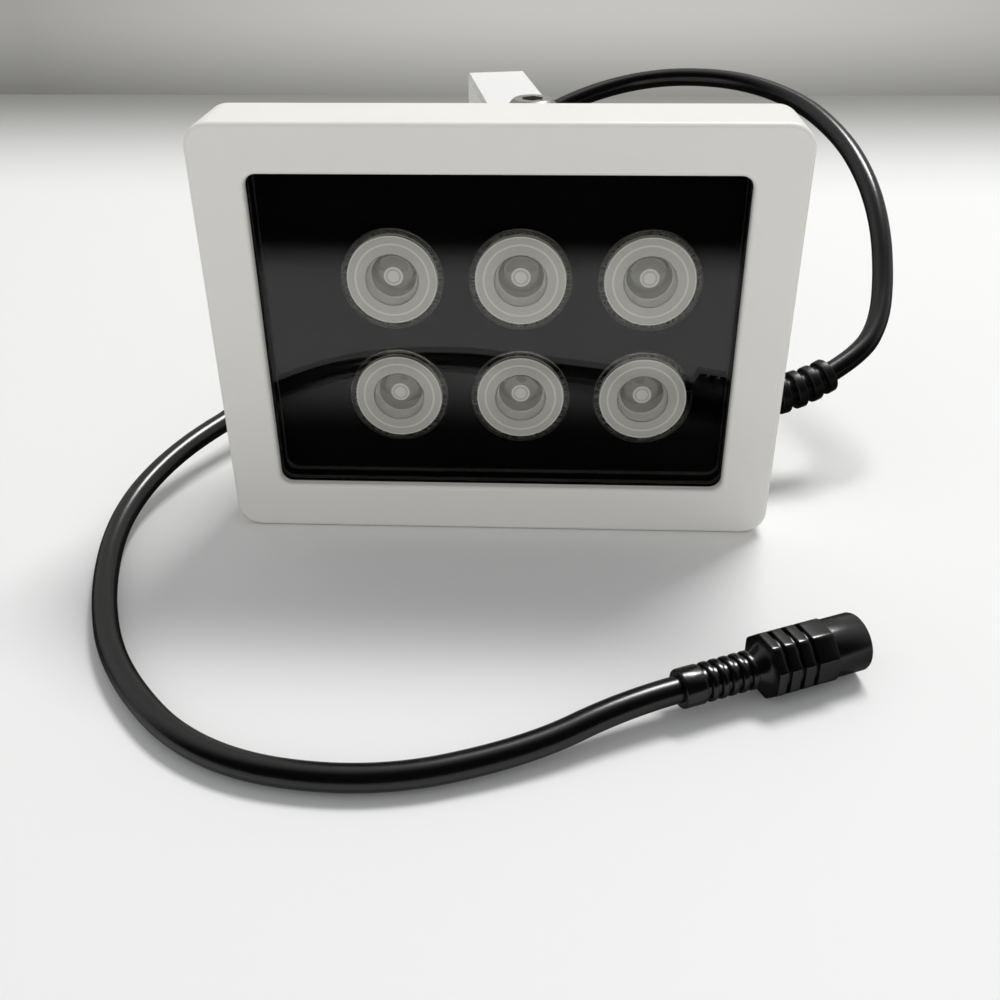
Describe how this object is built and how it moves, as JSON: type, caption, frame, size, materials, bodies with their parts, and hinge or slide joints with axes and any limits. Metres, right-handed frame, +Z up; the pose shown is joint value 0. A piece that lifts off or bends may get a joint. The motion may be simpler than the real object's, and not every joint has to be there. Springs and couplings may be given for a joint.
{
  "type": "infrared illuminator",
  "caption": "Rectangular infrared illuminator: finned die-cast housing, dark window over a matrix of collimating lenses, swivelling strap bracket, and a cord with an in-line power socket.",
  "frame": {"origin": "middle of the front frame's foot, on the surface it stands on", "axes": "+X across the window, +Y from the window to the finned back, +Z up"},
  "size_m": [0.1765, 0.2179, 0.0865],
  "materials": {
    "painted_casting": "powder coat, satin",
    "bracket_paint": "powder coat, satin",
    "steel": "stainless, satin",
    "window_glass": "polished, dark tinted",
    "lens_clear": "clear, polished",
    "emitter_resin": "clear resin dome",
    "mask_black": "black, satin",
    "circuit_board": "white solder mask",
    "ferrite": "dull",
    "capacitor_can": "drawn can",
    "terminal_plastic": "moulded",
    "black_rubber": "matt",
    "bushing_rubber": "satin",
    "washer_nylon": "moulded",
    "cord_pvc": "glossy sheath",
    "connector_pvc": "moulded, satin gloss",
    "plated_contact": "nickel plated"
  },
  "bodies": {
    "lamp": {"front_frame": "painted_casting", "glass_seal": "black_rubber", "front_glass": "window_glass", "mask_plate": "mask_black", "lens_1": "lens_clear", "lens_2": "lens_clear", "lens_3": "lens_clear", "lens_4": "lens_clear", "lens_5": "lens_clear", "lens_6": "lens_clear", "emitter_1": "emitter_resin", "emitter_2": "emitter_resin", "emitter_3": "emitter_resin", "emitter_4": "emitter_resin", "emitter_5": "emitter_resin", "emitter_6": "emitter_resin", "led_board": "circuit_board", "board_screws": "steel", "driver_board": "circuit_board", "driver_screws": "steel", "driver_coil": "ferrite", "driver_capacitor": "capacitor_can", "driver_terminal": "terminal_plastic", "housing_seal": "black_rubber", "rear_housing": "painted_casting", "frame_screws": "steel", "friction_washer_top": "washer_nylon", "friction_washer_bottom": "washer_nylon", "pivot_washer_top": "steel", "pivot_washer_bottom": "steel", "pivot_bolt_top": "steel", "pivot_bolt_bottom": "steel", "cord_bushing": "bushing_rubber", "cord": "cord_pvc", "connector_body": "connector_pvc", "connector_insert": "mask_black", "connector_pin": "plated_contact", "connector_spring": "plated_contact"},
    "bracket": {"bracket": "bracket_paint"}
  },
  "joints": [
    {"name": "bracket_swivel", "type": "hinge", "parent": "lamp", "child": "bracket", "pos_m": [0.006, 0.02, 0.04325], "axis": [0, 0, 1], "range_deg": [-80, 75]}
  ]
}
